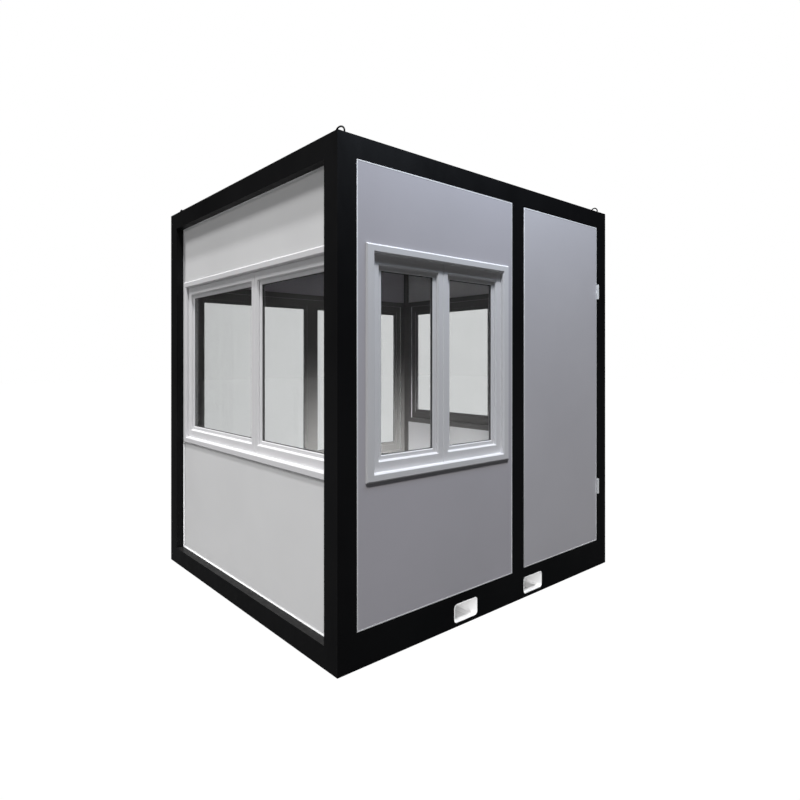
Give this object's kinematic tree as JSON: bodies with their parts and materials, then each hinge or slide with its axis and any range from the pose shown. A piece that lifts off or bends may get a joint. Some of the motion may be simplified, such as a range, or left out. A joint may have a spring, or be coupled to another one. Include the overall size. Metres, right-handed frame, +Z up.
{
  "type": "security guard booth",
  "caption": "Box-shaped guard booth with a black steel frame, flat grey wall panels, sliding windows on every side, an outward-opening door, fork pockets and lifting eyes.",
  "frame": {"origin": "at ground level under the middle of the booth, where its footprint's two centre lines cross", "axes": "+Z up; the door face looks along -Y; +X is to the right for someone facing the door"},
  "size_m": [2.33, 2.136, 2.5469],
  "materials": {
    "frame_paint": "satin black paint on square steel tube",
    "sleeve_steel": "light grey painted steel, scuffed",
    "window_glass": "clear float glass with a faint grey tint",
    "window_profile": "white window profile",
    "wall_panel": "light grey coated sheet of a sandwich panel",
    "floor_sheet": "grey sheet floor covering",
    "roof_sheet": "light grey coated sheet",
    "door_panel": "light grey coated sheet",
    "door_seal": "black rubber-faced stop",
    "hinge_paint": "white painted hinge",
    "handle_metal": "satin metal",
    "eye_steel": "black painted forged eye"
  },
  "bodies": {
    "booth": {"corner_post_front_left": "frame_paint", "corner_post_front_right": "frame_paint", "corner_post_back_left": "frame_paint", "corner_post_back_right": "frame_paint", "door_post": "frame_paint", "top_beam_front": "frame_paint", "top_beam_back": "frame_paint", "top_beam_left": "frame_paint", "top_beam_right": "frame_paint", "base_beam_front": "frame_paint", "base_beam_back": "frame_paint", "base_beam_left": "frame_paint", "base_beam_right": "frame_paint", "fork_sleeve_left": "sleeve_steel", "fork_sleeve_right": "sleeve_steel", "floor_panel": "floor_sheet", "roof_panel": "roof_sheet", "front_wall": "wall_panel", "back_wall": "wall_panel", "left_wall": "wall_panel", "right_wall": "wall_panel", "front_window_trims": "window_profile", "front_window_frame": "window_profile", "front_window_sashes": "window_profile", "front_window_glass": "window_glass", "back_window_trims": "window_profile", "back_window_frame": "window_profile", "back_window_sashes": "window_profile", "back_window_glass": "window_glass", "left_window_trims": "window_profile", "left_window_frame": "window_profile", "left_window_sashes": "window_profile", "left_window_glass": "window_glass", "right_window_trims": "window_profile", "right_window_frame": "window_profile", "right_window_sashes": "window_profile", "right_window_glass": "window_glass", "door_stop": "door_seal", "post_hinge_halves": "hinge_paint", "lifting_eyes": "eye_steel"},
    "door": {"door_leaf": "door_panel", "door_hinge_halves": "hinge_paint", "inside_handle": "handle_metal"}
  },
  "joints": [
    {"name": "door_swing", "type": "hinge", "parent": "booth", "child": "door", "pos_m": [1.051, -1.064, 1.28], "axis": [0, 0, 1], "range_deg": [0, 110]}
  ]
}
